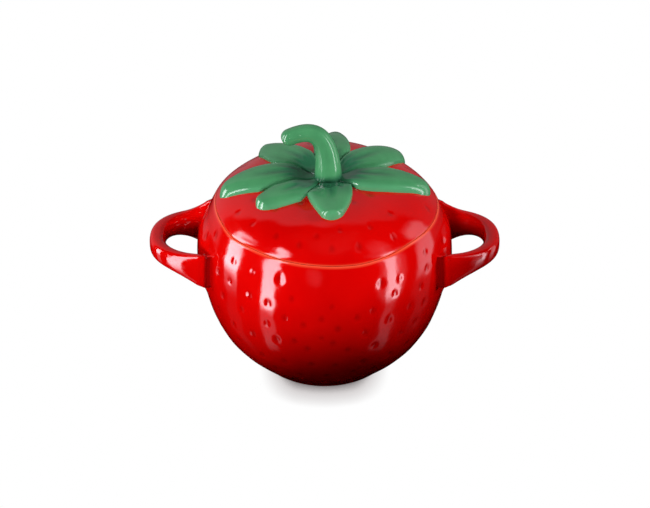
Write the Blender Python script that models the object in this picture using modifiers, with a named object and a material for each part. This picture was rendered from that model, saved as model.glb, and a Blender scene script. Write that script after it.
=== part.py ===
"""Mini cocotte in the shape of a strawberry: a lidded stoneware pot with two loop handles.

Run with: blender --background --python part.py
Units are metres and +Z is up. The pot stands on z = 0 with its axis on the Z axis.
The front faces -Y, and the handles lie along X. The lid lifts straight up off its seat.
"""

import math

import bmesh
import bpy
from mathutils import Matrix, Vector

# Foot
FOOT_RADIUS = 0.0302  # outer edge of the foot ring
FOOT_WIDTH = 0.0042  # width of the face that the pot stands on
FOOT_HEIGHT = 0.0012  # where the belly starts, above the table
FOOT_RECESS = 0.0014  # depth of the hollow inside the foot ring
FOOT_FLARE_OUT = 0.0067  # how far the belly runs outward as it leaves the foot
FOOT_FLARE_UP = 0.0075  # how far it rises over that run

# Belly and crown
BELLY_RADIUS = 0.0523  # mean radius at the widest place
BELLY_HEIGHT = 0.0496  # height of the widest place
BELLY_FULL_BELOW = 0.0322  # how far below the widest place the wall stays upright
BELLY_FULL_ABOVE = 0.0368  # the same above it
RIM_RISE = 0.0258  # from the widest place up to the seat of the lid
CROWN_RISE = 0.0134  # from the seat of the lid to the top of the lid under the stem
CROWN_FLAT = 0.0356  # radius over which the crown stays nearly level

# Lobes of the fruit, one at the front and at every quarter turn
LOBES = 4
LOBE_RISE = 0.0010  # rise of a lobe over the mean radius, from the belly up
LOBE_START = 0.0200  # height at which the lobes begin to show

# Walls, rim and lid seat
WALL = 0.0045
FLOOR_THICKNESS = 0.0048
RIM_WIDTH = 0.0050  # width of the seat
RIM_LIP = 0.0036  # depth of the upright mouth below the seat
EDGE_ROUND = 0.0010  # rounding along the seam between pot and lid
SEAT_GAP = 0.0003
LID_WALL = 0.0044
FLANGE_DEPTH = 0.0050  # how far the locating flange drops into the mouth
FLANGE_WALL = 0.0032
FLANGE_CLEARANCE = 0.0008

# Side handles
HANDLE_STAND = 0.0227  # from the widest place of the wall to the tip of a handle
HANDLE_BURY = 0.0013  # how far inside the widest place the loop begins to curve
HANDLE_HALF_WIDTH = 0.0192  # outer side of an arm at the wall, from the middle of the handle
HANDLE_SQUARENESS = 2.2  # exponent of the loop's outline, 2 is an ellipse
HANDLE_ARM_THICKNESS = 0.0046
HANDLE_TIP_THICKNESS = 0.0069
HANDLE_RISE = 0.0118  # top edge at the tip, above the widest place
HANDLE_TIP_HEIGHT = 0.0092  # height of the strap at the tip
HANDLE_DROP = 0.0092  # how much lower the bottom edge is at the wall
HANDLE_DROP_POWER = 2.2  # 1 is a straight bottom edge, more keeps the drop near the wall
HANDLE_LIFT = 0.0020  # how much higher the top edge is at the wall
HANDLE_LIFT_POWER = 5.0  # keeps the lift near the wall
HANDLE_EASE = 0.0014  # how much the strap's inner edges are drawn in, at the top and below
HANDLE_ROUND = 0.0020
HANDLE_GAP = 0.0003

# Stem
STEM_OFFSET = 0.0015  # foot of the stem, to the right of the middle of the lid
STEM_RADIUS = 0.0052
STEM_FLARE = 0.0006  # extra radius at the foot of the stem
STEM_FLARE_HEIGHT = 0.0050
STEM_TIP_RADIUS = 0.0037
STEM_UPRIGHT = 0.0115  # how far up the stem leaves the lid before it bends
STEM_ARCH_OUT = 0.0007  # point that the bend is drawn towards, to the left of the foot
STEM_ARCH_UP = 0.0265  # height of that point
STEM_TIP_OUT = 0.0160  # middle of the tip, to the left of the foot
STEM_TIP_UP = 0.0192  # height of the tip
STEM_GAP = 0.0003

# Leaves: name, azimuth of the root, azimuth of the tip, inset from the lid's edge, half width
LEAVES = [
    ("leaf_right", -8.0, 2.0, 0.0011, 0.0085),
    ("leaf_back_right", 34.0, 40.0, 0.0013, 0.0078),
    ("leaf_back", 80.0, 83.0, 0.0038, 0.0080),
    ("leaf_back_left", 131.0, 135.0, 0.0066, 0.0078),
    ("leaf_left", 179.0, 183.0, 0.0016, 0.0084),
    ("leaf_front_left", 224.0, 214.0, 0.0114, 0.0074),
    ("leaf_front", 282.0, 276.0, 0.0157, 0.0108),
]
LEAF_ROOT_SHARE = 0.62  # width at the root, as a share of the full width
LEAF_WIDEST = 0.42  # place of the full width, from root to tip
LEAF_TIP_HALF_WIDTH = 0.0022
LEAF_EDGE = 0.0026  # thickness along the sides
LEAF_CROWN = 0.0010  # extra thickness along the middle
LEAF_ROUND = 0.0008
LEAF_GAP = 0.0004  # to the lid under it
LEAF_SIDE_GAP = 0.0005  # to the leaf beside it
LEAF_ROOT_GAP = 0.0004  # to the stem

# Fineness
TURN_STEPS = 48
CURVE_STEPS = 12
ROUND_STEPS = 3
LEAF_LENGTH_STEPS = 9
LEAF_WIDTH_STEPS = 4
STEM_STEPS = 14
STEM_SIDES = 4  # bevel resolution of the stem
SEARCH_STEPS = 50
MERGE = 0.00001  # distance at which points count as one

# Colours
RED_GLAZE = (0.62, 0.004, 0.006)
GREEN_GLAZE = (0.07, 0.30, 0.13)
RED_ROUGHNESS = 0.12
GREEN_ROUGHNESS = 0.20
SMOOTH_ANGLE = math.radians(40)

# Heights and radii that follow
FRONT = math.radians(270)
RIM_HEIGHT = BELLY_HEIGHT + RIM_RISE
CROWN_HEIGHT = RIM_HEIGHT + CROWN_RISE
FLOOR_HEIGHT = FOOT_RECESS + FLOOR_THICKNESS
HANDLE_REACH = BELLY_RADIUS + HANDLE_STAND
HANDLE_LOOP = HANDLE_STAND + HANDLE_BURY
HANDLE_TOP = BELLY_HEIGHT + HANDLE_RISE
LEAF_ROOT = STEM_OFFSET + STEM_RADIUS + STEM_FLARE + LEAF_ROOT_GAP

# Curves that the outlines follow, each from two end points and two points that draw it
BELLY_POINT = Vector((BELLY_RADIUS, BELLY_HEIGHT))
FOOT_POINT = Vector((FOOT_RADIUS, FOOT_HEIGHT))
LOWER_CURVE = (
    FOOT_POINT,
    FOOT_POINT + Vector((FOOT_FLARE_OUT, FOOT_FLARE_UP)),
    BELLY_POINT - Vector((0.0, BELLY_FULL_BELOW)),
    BELLY_POINT,
)
UPPER_CURVE = (
    BELLY_POINT,
    BELLY_POINT + Vector((0.0, BELLY_FULL_ABOVE)),
    Vector((CROWN_FLAT, CROWN_HEIGHT)),
    Vector((0.0, CROWN_HEIGHT)),
)
STEM_CURVE = (
    Vector((0.0, 0.0)),
    Vector((0.0, STEM_UPRIGHT)),
    Vector((-STEM_ARCH_OUT, STEM_ARCH_UP)),
    Vector((-STEM_TIP_OUT, STEM_TIP_UP)),
)


# Scene helpers


def clear_scene():
    for item in list(bpy.data.objects):
        bpy.data.objects.remove(item, do_unlink=True)


def make_collection(name):
    collection = bpy.data.collections.new(name)
    bpy.context.scene.collection.children.link(collection)
    return collection


def make_glaze(name, colour, roughness):
    material = bpy.data.materials.new(name + "_glaze")
    material.use_nodes = True
    shader = material.node_tree.nodes["Principled BSDF"]
    shader.inputs["Base Color"].default_value = (*colour, 1.0)
    shader.inputs["Roughness"].default_value = roughness
    shader.inputs["Metallic"].default_value = 0.0
    return material


def make_object(name, data, collection):
    item = bpy.data.objects.new(name, data)
    collection.objects.link(item)
    return item


def smooth_faces(mesh):
    mesh.shade_smooth()
    mesh.set_sharp_from_angle(angle=SMOOTH_ANGLE)


def take_evaluated_mesh(item):
    """The object's evaluated shape as a mesh of its own. The object is removed."""
    graph = bpy.context.evaluated_depsgraph_get()
    mesh = bpy.data.meshes.new_from_object(item.evaluated_get(graph))
    bpy.data.objects.remove(item, do_unlink=True)
    return mesh


def round_edges(item, width, segments):
    rounding = item.modifiers.new("Round", "BEVEL")
    rounding.width = width
    rounding.segments = segments
    rounding.limit_method = "ANGLE"
    rounding.angle_limit = SMOOTH_ANGLE
    return rounding


def finish_shape(shape, name):
    bmesh.ops.recalc_face_normals(shape, faces=shape.faces)
    mesh = bpy.data.meshes.new(name)
    shape.to_mesh(mesh)
    shape.free()
    smooth_faces(mesh)
    return mesh


# Curves


def smooth_step(low, high, value):
    share = min(1.0, max(0.0, (value - low) / (high - low)))
    return share * share * (3.0 - 2.0 * share)


def curve_point(curve, share):
    start, leave, arrive, end = curve
    rest = 1.0 - share
    near = start * rest**3 + leave * (3.0 * rest * rest * share)
    return near + arrive * (3.0 * rest * share * share) + end * share**3


def curve_normal(curve, share):
    """Unit normal to the right of the curve, which is the outside of the fruit."""
    start, leave, arrive, end = curve
    rest = 1.0 - share
    along = (leave - start) * (rest * rest) + (arrive - leave) * (2.0 * rest * share)
    along += (end - arrive) * (share * share)
    return Vector((along.y, -along.x)).normalized()


def curve_points(curve, first, last, steps, inward=0.0):
    points = []
    for step in range(steps + 1):
        share = first + (last - first) * step / steps
        points.append(curve_point(curve, share) - curve_normal(curve, share) * inward)
    return points


def last_share(test):
    """Last share of the upper curve, from the belly up, at which the test still holds."""
    low = 0.0
    high = 1.0
    for _ in range(SEARCH_STEPS):
        middle = 0.5 * (low + high)
        if test(middle):
            low = middle
        else:
            high = middle
    return low


def lobed_radius(radius, height, azimuth):
    fade = smooth_step(LOBE_START, BELLY_HEIGHT, height)
    rise = LOBE_RISE * radius / BELLY_RADIUS
    return radius + rise * fade * math.cos(LOBES * (azimuth - FRONT))


# Seam between pot and lid


def seam_height(share, side):
    """Height of the seam's face if the rounding of its edge starts at this share of the curve.

    side is +1 for the pot, which ends above its rounding, and -1 for the lid.
    """
    lift = curve_normal(UPPER_CURVE, share).y
    return curve_point(UPPER_CURVE, share).y + EDGE_ROUND * (side - lift)


POT_EDGE_SHARE = last_share(lambda share: seam_height(share, 1.0) < RIM_HEIGHT)
LID_EDGE_SHARE = last_share(lambda share: seam_height(share, -1.0) < RIM_HEIGHT + SEAT_GAP)


def edge_arc(share, end_angle):
    """Rounding from the curve, at this share, to the seam's face."""
    normal = curve_normal(UPPER_CURVE, share)
    centre = curve_point(UPPER_CURVE, share) - normal * EDGE_ROUND
    first = math.atan2(normal.y, normal.x)
    points = []
    for step in range(1, ROUND_STEPS + 1):
        angle = first + (end_angle - first) * step / ROUND_STEPS
        points.append(centre + EDGE_ROUND * Vector((math.cos(angle), math.sin(angle))))
    return points


POT_EDGE = edge_arc(POT_EDGE_SHARE, math.pi / 2)
LID_EDGE = edge_arc(LID_EDGE_SHARE, -math.pi / 2)
MOUTH_RADIUS = POT_EDGE[-1].x + EDGE_ROUND - RIM_WIDTH
LID_RADIUS = curve_point(UPPER_CURVE, LID_EDGE_SHARE).x


# Turned pieces


def turned_mesh(name, profile):
    """Solid turned about Z from a profile that runs down its outer side, and then lobed."""
    edges = []
    for index, point in enumerate(profile):
        following = (index + 1) % len(profile)
        if point.x > 0.0 or profile[following].x > 0.0:
            edges.append((index, following))
    outline = bpy.data.meshes.new(name + "_outline")
    outline.from_pydata([(point.x, 0.0, point.y) for point in profile], edges, [])
    item = make_object(name, outline, bpy.context.scene.collection)
    screw = item.modifiers.new("Turn", "SCREW")
    screw.axis = "Z"
    screw.steps = TURN_STEPS
    screw.render_steps = TURN_STEPS
    screw.use_merge_vertices = True
    screw.merge_threshold = MERGE
    mesh = take_evaluated_mesh(item)
    bpy.data.meshes.remove(outline)
    mesh.name = name
    for vertex in mesh.vertices:
        radius = vertex.co.xy.length
        if radius > 0.0:
            azimuth = math.atan2(vertex.co.y, vertex.co.x)
            vertex.co.xy *= lobed_radius(radius, vertex.co.z, azimuth) / radius
    smooth_faces(mesh)
    return mesh


def pot_profile():
    outer = POT_EDGE[::-1]
    outer += curve_points(UPPER_CURVE, POT_EDGE_SHARE, 0.0, CURVE_STEPS // 2)
    outer += curve_points(LOWER_CURVE, 1.0, 0.0, CURVE_STEPS)[1:]
    ring_outside = FOOT_RADIUS - FOOT_HEIGHT
    ring_inside = ring_outside - FOOT_WIDTH
    base = [
        Vector((ring_outside, 0.0)),
        Vector((ring_inside, 0.0)),
        Vector((ring_inside - FOOT_RECESS, FOOT_RECESS)),
        Vector((0.0, FOOT_RECESS)),
    ]
    wall = curve_points(LOWER_CURVE, 0.0, 1.0, CURVE_STEPS, WALL)
    wall += curve_points(UPPER_CURVE, 0.0, POT_EDGE_SHARE, CURVE_STEPS // 2, WALL)[1:]
    lip_height = RIM_HEIGHT - RIM_LIP
    inside = [point for point in wall if FLOOR_HEIGHT < point.y < lip_height]
    floor = [
        Vector((0.0, FLOOR_HEIGHT)),
        Vector((inside[0].x - EDGE_ROUND, FLOOR_HEIGHT)),
    ]
    lip = [
        Vector((MOUTH_RADIUS, lip_height + EDGE_ROUND)),
        Vector((MOUTH_RADIUS, RIM_HEIGHT - EDGE_ROUND)),
        Vector((MOUTH_RADIUS + EDGE_ROUND, RIM_HEIGHT)),
    ]
    return outer + base + floor + inside + lip


def lid_profile():
    crown = curve_points(UPPER_CURVE, 1.0, LID_EDGE_SHARE, CURVE_STEPS)
    flange_outside = MOUTH_RADIUS - FLANGE_CLEARANCE
    flange_inside = flange_outside - FLANGE_WALL
    flange_foot = RIM_HEIGHT - FLANGE_DEPTH
    flange = [
        Vector((flange_outside, RIM_HEIGHT + SEAT_GAP)),
        Vector((flange_outside, flange_foot + EDGE_ROUND)),
        Vector((flange_outside - EDGE_ROUND, flange_foot)),
        Vector((flange_inside + EDGE_ROUND, flange_foot)),
        Vector((flange_inside, flange_foot + EDGE_ROUND)),
    ]
    hollow = curve_points(UPPER_CURVE, LID_EDGE_SHARE, 1.0, CURVE_STEPS, LID_WALL)
    inside = [point for point in hollow[:-1] if point.x < flange_inside - EDGE_ROUND]
    return crown + LID_EDGE + flange + inside + [Vector((0.0, CROWN_HEIGHT - LID_WALL))]


def lid_height_at(place):
    """Height of the lid's outer face over a point of the plan."""
    azimuth = math.atan2(place.y, place.x)

    def is_farther_out(share):
        point = curve_point(UPPER_CURVE, share)
        return lobed_radius(point.x, point.y, azimuth) > place.length

    return curve_point(UPPER_CURVE, last_share(is_farther_out)).y


# Handles


def make_wall_cutter(collection):
    """The outside of the fruit, grown by the gap that a handle keeps to it."""
    profile = curve_points(UPPER_CURVE, 1.0, 0.0, CURVE_STEPS, -HANDLE_GAP)
    profile += curve_points(LOWER_CURVE, 1.0, 0.0, CURVE_STEPS, -HANDLE_GAP)[1:]
    profile.append(Vector((0.0, profile[-1].y)))
    cutter = make_object("wall_cutter", turned_mesh("wall_cutter", profile), collection)
    cutter.hide_render = True
    cutter.display_type = "WIRE"
    return cutter


def strap_edges():
    """Inner and outer edge of the strap in plan, from the front arm round the tip to the back."""
    start = HANDLE_REACH - HANDLE_LOOP
    power = HANDLE_SQUARENESS
    inner = []
    outer = []
    for step in range(2 * CURVE_STEPS + 1):
        angle = math.pi * (step / (2 * CURVE_STEPS) - 0.5)
        along = max(0.0, math.cos(angle)) ** (2.0 / power)
        across = math.copysign(abs(math.sin(angle)) ** (2.0 / power), angle)
        lean = math.copysign(abs(across) ** (power - 1.0) / HANDLE_HALF_WIDTH, across)
        normal = Vector((along ** (power - 1.0) / HANDLE_LOOP, lean)).normalized()
        swell = (HANDLE_TIP_THICKNESS - HANDLE_ARM_THICKNESS) * along
        outside = Vector((start + HANDLE_LOOP * along, HANDLE_HALF_WIDTH * across))
        outer.append(outside)
        inner.append(outside - normal * (HANDLE_ARM_THICKNESS + swell))
    root = math.sqrt((BELLY_RADIUS - WALL) ** 2 - HANDLE_HALF_WIDTH**2)
    for edge in (inner, outer):
        edge.insert(0, Vector((root, edge[0].y)))
        edge.append(Vector((root, edge[-1].y)))
    return inner, outer


def loop_share(along):
    """Share of the loop between its tip and a distance from the pot's axis."""
    return min(1.0, max(0.0, HANDLE_REACH - along) / HANDLE_LOOP)


def handle_top(along):
    """Height of the strap's upper edge at a distance from the pot's axis."""
    return HANDLE_TOP + HANDLE_LIFT * loop_share(along) ** HANDLE_LIFT_POWER


def handle_bottom(along):
    """Height of the strap's lower edge at a distance from the pot's axis."""
    drop = HANDLE_DROP * loop_share(along) ** HANDLE_DROP_POWER
    return HANDLE_TOP - HANDLE_TIP_HEIGHT - drop


def strap_mesh(name, side):
    """Strap of a handle: its top face laid out in plan and drawn down to the lower edge."""
    edges = strap_edges()
    steps = len(edges[0]) - 1
    shape = bmesh.new()
    bmesh.ops.create_grid(shape, x_segments=steps, y_segments=1, size=1.0)
    bottom = shape.verts.layers.float.new("bottom")
    for vertex in shape.verts:
        step = round(0.5 * (vertex.co.x + 1.0) * steps)
        is_outer = vertex.co.y > 0.0
        ease = 0.0 if is_outer else HANDLE_EASE
        place = edges[is_outer][step]
        vertex.co = (side * place.x, place.y, handle_top(place.x) - ease)
        vertex[bottom] = handle_bottom(place.x) + ease
    drawn = bmesh.ops.extrude_face_region(shape, geom=list(shape.faces))
    for element in drawn["geom"]:
        if isinstance(element, bmesh.types.BMVert):
            element.co.z = element[bottom]
    return finish_shape(shape, name)


def make_handle(name, side, cutter, collection):
    handle = make_object(name, strap_mesh(name, side), collection)
    rounding = round_edges(handle, HANDLE_ROUND, ROUND_STEPS)
    rounding.use_clamp_overlap = False
    cut = handle.modifiers.new("Seat", "BOOLEAN")
    cut.operation = "DIFFERENCE"
    cut.object = cutter
    return handle


# Stem


def stem_points():
    """Middle line of the stem with its radius, from the lid to the rounded tip."""
    foot = Vector((STEM_OFFSET, 0.0, CROWN_HEIGHT + STEM_GAP))
    points = []
    for step in range(STEM_STEPS + 1):
        share = step / STEM_STEPS
        place = curve_point(STEM_CURVE, share)
        radius = STEM_RADIUS + (STEM_TIP_RADIUS - STEM_RADIUS) * share
        radius += STEM_FLARE * (1.0 - smooth_step(0.0, STEM_FLARE_HEIGHT, place.y))
        points.append((foot + Vector((place.x, 0.0, place.y)), radius))
    across = curve_normal(STEM_CURVE, 1.0)
    along = Vector((-across.y, 0.0, across.x))
    tip = points[-1][0]
    for step in range(1, ROUND_STEPS + 1):
        angle = 0.5 * math.pi * step / (ROUND_STEPS + 0.5)
        centre = tip + along * STEM_TIP_RADIUS * math.sin(angle)
        points.append((centre, STEM_TIP_RADIUS * math.cos(angle)))
    return points


def make_stem(name, collection):
    curve = bpy.data.curves.new(name, "CURVE")
    curve.dimensions = "3D"
    curve.bevel_depth = STEM_RADIUS
    curve.bevel_resolution = STEM_SIDES
    curve.use_fill_caps = True
    points = stem_points()
    spline = curve.splines.new("POLY")
    spline.points.add(len(points) - 1)
    for target, (centre, radius) in zip(spline.points, points):
        target.co = (*centre, 1.0)
        target.radius = radius / STEM_RADIUS
    mesh = take_evaluated_mesh(make_object(name, curve, bpy.context.scene.collection))
    bpy.data.curves.remove(curve)
    shape = bmesh.new()
    shape.from_mesh(mesh)
    bpy.data.meshes.remove(mesh)
    bmesh.ops.remove_doubles(shape, verts=shape.verts, dist=MERGE)
    return make_object(name, finish_shape(shape, name), collection)


# Leaves


def leaf_reach(leaf):
    return LID_RADIUS - leaf[3]


def leaf_azimuth(leaf, radius):
    """Azimuth, in degrees, of a leaf's middle line at a distance from the axis."""
    _, root, tip, _, _ = leaf
    share = (radius - LEAF_ROOT) / (leaf_reach(leaf) - LEAF_ROOT)
    return root + (tip - root) * min(1.0, share)


def leaf_swell(share):
    """Width of a leaf along its length, from 1 at its widest to 0 at the tip."""
    if share < LEAF_WIDEST:
        growth = math.sin(0.5 * math.pi * share / LEAF_WIDEST)
        return LEAF_ROOT_SHARE + (1.0 - LEAF_ROOT_SHARE) * growth
    return math.cos(0.5 * math.pi * (share - LEAF_WIDEST) / (1.0 - LEAF_WIDEST))


def leaf_half_width(index, share, radius, side):
    """Half the leaf's width on one side, which gives way to the next leaf on that side."""
    step = 1 if side > 0.0 else -1
    leaf = LEAVES[index]
    neighbour = LEAVES[(index + step) % len(LEAVES)]
    between = step * (leaf_azimuth(neighbour, radius) - leaf_azimuth(leaf, radius))
    room = radius * math.radians(between % 360.0) / 2.0 - LEAF_SIDE_GAP / 2.0
    wanted = LEAF_TIP_HALF_WIDTH + (leaf[4] - LEAF_TIP_HALF_WIDTH) * leaf_swell(share)
    return min(wanted, room)


def leaf_mesh(index):
    """Leaf laid on the lid, with a crowned upper face."""
    leaf = LEAVES[index]
    shape = bmesh.new()
    bmesh.ops.create_grid(
        shape, x_segments=LEAF_LENGTH_STEPS, y_segments=LEAF_WIDTH_STEPS, size=1.0
    )
    thickness = shape.verts.layers.float.new("thickness")
    for vertex in shape.verts:
        share = 0.5 * (vertex.co.x + 1.0)
        across = vertex.co.y
        radius = LEAF_ROOT + (leaf_reach(leaf) - LEAF_ROOT) * share
        turn = across * leaf_half_width(index, share, radius, across) / radius
        azimuth = math.radians(leaf_azimuth(leaf, radius)) + turn
        place = Vector((radius * math.cos(azimuth), radius * math.sin(azimuth)))
        vertex.co = (*place, lid_height_at(place) + LEAF_GAP)
        vertex[thickness] = LEAF_EDGE + LEAF_CROWN * (1.0 - across * across)
    raised = bmesh.ops.extrude_face_region(shape, geom=list(shape.faces))
    for element in raised["geom"]:
        if isinstance(element, bmesh.types.BMVert):
            element.co.z += element[thickness]
    return finish_shape(shape, leaf[0])


def make_leaf(index, collection):
    leaf = make_object(LEAVES[index][0], leaf_mesh(index), collection)
    round_edges(leaf, LEAF_ROUND, ROUND_STEPS - 1)
    return leaf


def main():
    clear_scene()
    parts = make_collection("mini_cocotte")
    cutter = make_wall_cutter(make_collection("cutters"))

    red_parts = [make_object("pot_bowl", turned_mesh("pot_bowl", pot_profile()), parts)]
    for name, side in (("handle_left", -1.0), ("handle_right", 1.0)):
        red_parts.append(make_handle(name, side, cutter, parts))
    lid = make_object("lid_dome", turned_mesh("lid_dome", lid_profile()), parts)
    red_parts.append(lid)

    green_parts = [make_stem("stem", parts)]
    for index in range(len(LEAVES)):
        green_parts.append(make_leaf(index, parts))

    for item in red_parts:
        item.data.materials.append(make_glaze(item.name, RED_GLAZE, RED_ROUGHNESS))
    for item in green_parts:
        item.data.materials.append(make_glaze(item.name, GREEN_GLAZE, GREEN_ROUGHNESS))

    lift = make_object("lid_lift_axis", None, parts)
    lift.location = (0.0, 0.0, RIM_HEIGHT)
    for item in [lid] + green_parts:
        item.parent = lift
        item.matrix_parent_inverse = Matrix.Translation(-lift.location)


main()
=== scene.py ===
"""Looks of the strawberry cocotte: glazed pot, handles, lid, leaves and stem round the CAD frame."""

import math
from collections import namedtuple

import bpy
import numpy as np
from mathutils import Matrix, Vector


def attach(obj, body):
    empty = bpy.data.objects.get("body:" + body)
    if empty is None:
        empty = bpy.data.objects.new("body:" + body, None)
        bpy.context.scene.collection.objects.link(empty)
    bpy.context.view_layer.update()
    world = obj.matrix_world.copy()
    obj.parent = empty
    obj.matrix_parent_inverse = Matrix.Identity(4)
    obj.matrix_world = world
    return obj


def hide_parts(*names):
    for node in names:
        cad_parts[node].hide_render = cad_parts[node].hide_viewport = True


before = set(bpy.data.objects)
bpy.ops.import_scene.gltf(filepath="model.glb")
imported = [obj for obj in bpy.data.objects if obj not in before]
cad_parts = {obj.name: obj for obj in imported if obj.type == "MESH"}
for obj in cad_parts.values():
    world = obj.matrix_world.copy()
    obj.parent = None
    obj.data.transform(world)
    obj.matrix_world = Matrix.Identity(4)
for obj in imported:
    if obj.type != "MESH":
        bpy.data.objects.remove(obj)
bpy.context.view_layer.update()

# Sizes of the fruit, in metres, as the CAD has them
FOOT_POINT = np.array((0.0302, 0.0012))
FOOT_FLARE = np.array((0.0067, 0.0075))
FOOT_WIDTH = 0.0042
FOOT_RECESS = 0.0014
FOOT_EASE = 0.0003
FLOOR_HEIGHT = 0.0062
FLOOR_EASE = 0.0040
FLOOR_CORNER = (0.0005, 0.0)
FLOOR_BEND = (0.0090, 0.0010)
BELLY_POINT = np.array((0.0523, 0.0496))
BELLY_FULL_BELOW = 0.0322
BELLY_FULL_ABOVE = 0.0368
RIM_HEIGHT = 0.0754
CROWN_HEIGHT = 0.0888
CROWN_FLAT = 0.0356
LOBES = 4
LOBE_RISE = 0.0010
LOBE_START = 0.0200
WALL = 0.0045
RIM_WIDTH = 0.0050
RIM_LIP = 0.0036
EDGE_ROUND = 0.0007
EDGE_SOFT = 0.3 * EDGE_ROUND
SEAT_GAP = 0.0002
LID_WALL = 0.0044
FLANGE_DEPTH = 0.0050
FLANGE_WALL = 0.0032
FLANGE_CLEARANCE = 0.0008
FLANGE_LEAN = np.array((-0.0004, 0.0030))
LID_HOLLOW_EASE = 0.0020

# Clay without glaze: height over the table and least radius at the foot, nearness to the seat on the pot and
# on the lid, and the glazed edge outside the seat
FOOT_BARE = (0.0004, 0.0200)
POT_SEAT_BARE = 0.0003
LID_SEAT_BARE = 0.0002
SEAT_GLAZED_EDGE = 0.0006

LOWER_CURVE = np.array(
    (
        FOOT_POINT,
        FOOT_POINT + FOOT_FLARE,
        BELLY_POINT - (0.0, BELLY_FULL_BELOW),
        BELLY_POINT,
    )
)
UPPER_CURVE = np.array(
    (
        BELLY_POINT,
        BELLY_POINT + (0.0, BELLY_FULL_ABOVE),
        (CROWN_FLAT, CROWN_HEIGHT),
        (0.0, CROWN_HEIGHT),
    )
)

# Fineness
FRUIT_STEPS = 1500
EDGE_STEPS = 7
BEND_STEPS = 9
TURN = 420
OUTER_STEP = 0.00065
INNER_STEP = 0.0025

# Dimples seen in the photo: azimuth from the front in degrees, height in mm, size
SEEN_DIMPLES = [
    (-63.9, 82.5, 0.8), (-49.0, 82.5, 0.8), (-29.4, 82.4, 0.9), (-14.1, 81.7, 0.9),
    (-4.8, 84.2, 0.8), (4.0, 81.2, 0.9), (10.3, 85.2, 0.8), (19.4, 81.0, 1.0),
    (31.0, 84.4, 0.8), (51.0, 84.9, 0.8), (41.9, 80.2, 0.9), (77.8, 79.7, 0.9),
    (-21.5, 68.5, 1.3), (-15.0, 61.1, 0.9), (-18.3, 51.1, 1.0), (-27.0, 56.1, 1.1),
    (-27.7, 45.7, 1.0), (-22.7, 38.7, 1.1), (-13.7, 39.9, 1.0), (-9.3, 49.4, 0.9),
    (-1.2, 53.0, 0.9), (6.0, 47.6, 1.0), (3.8, 40.1, 0.9), (-1.2, 43.1, 0.8),
    (-7.7, 36.3, 1.0), (10.9, 35.1, 1.0), (14.7, 52.0, 1.0), (18.8, 43.2, 1.0),
    (3.3, 58.7, 0.8), (22.5, 53.6, 1.0), (27.4, 65.3, 1.2), (34.8, 58.3, 0.9),
    (31.3, 46.5, 1.1), (38.4, 64.0, 0.9), (57.5, 60.9, 1.0), (52.0, 54.6, 1.0),
    (58.2, 68.6, 1.0), (-69.1, 70.5, 1.0),
]
DIMPLE_WIDTH = 0.0021
DIMPLE_LENGTH = 0.0028
DIMPLE_NARROWING = 0.30
DIMPLE_DEPTH = 0.00026
# Strength of the pit mask in the dimples: a darker colour from pooled glaze and painted shade
DIMPLE_POOL_AND_SHADE = 0.45
SKIRT_RADIUS = 0.0065
SKIRT_REACH = 2.2
SKIRT_FALL = 2.5
SKIRT_DEPTH = 0.00010

# Dimples elsewhere, in loose rows, and where there are none
DIMPLE_ROW = 0.0100
DIMPLE_SPACING = 0.0112
DIMPLE_NEAREST = 0.0082
DIMPLE_FEWEST = 6
DIMPLE_SEED = 7
DIMPLE_SHIFT = 0.0016
DIMPLE_SIZES = (0.8, 1.1)
DIMPLE_FROM_FOOT = 0.0120
DIMPLE_FROM_CROWN = 0.0200
DIMPLE_FROM_SEAM = 0.0045
BARE_FRONT_TURN = 24.0
BARE_FRONT_HEIGHT = 0.0540

# Slow waves of the wall: turns round the pot, length along the outline, shift
WAVES = [(9, 0.034, 0.4), (-14, 0.021, 1.9), (17, -0.026, 3.1), (-6, 0.017, 4.6), (21, 0.040, 5.5)]
WAVE_RISE = 0.00011

# Low boss on the wall between the arms of a handle
BOSS_RISE = 0.0016
BOSS_HALF_WIDTH = 0.0125
BOSS_LOW = 0.0400
BOSS_HIGH = 0.0660
BOSS_EASE = 0.0040


# Curves


def smooth_step(low, high, value):
    share = np.clip((value - low) / (high - low), 0.0, 1.0)
    return share * share * (3.0 - 2.0 * share)


def bezier(curve, share):
    share = np.asarray(share)[..., None]
    rest = 1.0 - share
    return (
        curve[0] * rest**3
        + curve[1] * 3.0 * rest**2 * share
        + curve[2] * 3.0 * rest * share**2
        + curve[3] * share**3
    )


def along_path(path):
    """Distance along a path of points, from its start."""
    steps = np.linalg.norm(np.diff(path, axis=0), axis=1)
    return np.concatenate(((0.0,), np.cumsum(steps)))


def resample(path, step):
    """The path with points about one step apart, and with both ends kept."""
    distance = along_path(path)
    count = max(2, int(round(distance[-1] / step)) + 1)
    places = np.linspace(0.0, distance[-1], count)
    return np.column_stack([np.interp(places, distance, path[:, axis]) for axis in range(2)])


def path_normals(path):
    """Normals to the right of a path."""
    along = np.gradient(path, axis=0)
    normals = np.column_stack((along[:, 1], -along[:, 0]))
    return normals / np.linalg.norm(normals, axis=1)[:, None]


def split_path(path, step):
    """The path with its long pieces cut into parts of about one step, and with every point kept."""
    points = [path[0]]
    for first, second in zip(path[:-1], path[1:]):
        parts = max(1, int(np.linalg.norm(second - first) / step))
        for part in range(1, parts + 1):
            points.append(first + (second - first) * part / parts)
    return np.array(points)


def turn_between(first, second):
    """Angle from the second azimuth to the first, at most half a turn either way."""
    return (first - second + math.pi) % (2.0 * math.pi) - math.pi


SHARES = np.linspace(0.0, 1.0, FRUIT_STEPS)
FRUIT = np.vstack((bezier(LOWER_CURVE, SHARES), bezier(UPPER_CURVE, SHARES)[1:]))
FRUIT_LENGTH = along_path(FRUIT)
FRUIT_NORMALS = path_normals(FRUIT)
FRUIT_NORMALS[-1] = (0.0, 1.0)


def fruit_radius(height):
    return np.interp(height, FRUIT[:, 1], FRUIT[:, 0])


def fruit_distance(height):
    """Distance along the outline from the foot, at a height."""
    return np.interp(height, FRUIT[:, 1], FRUIT_LENGTH)


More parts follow.
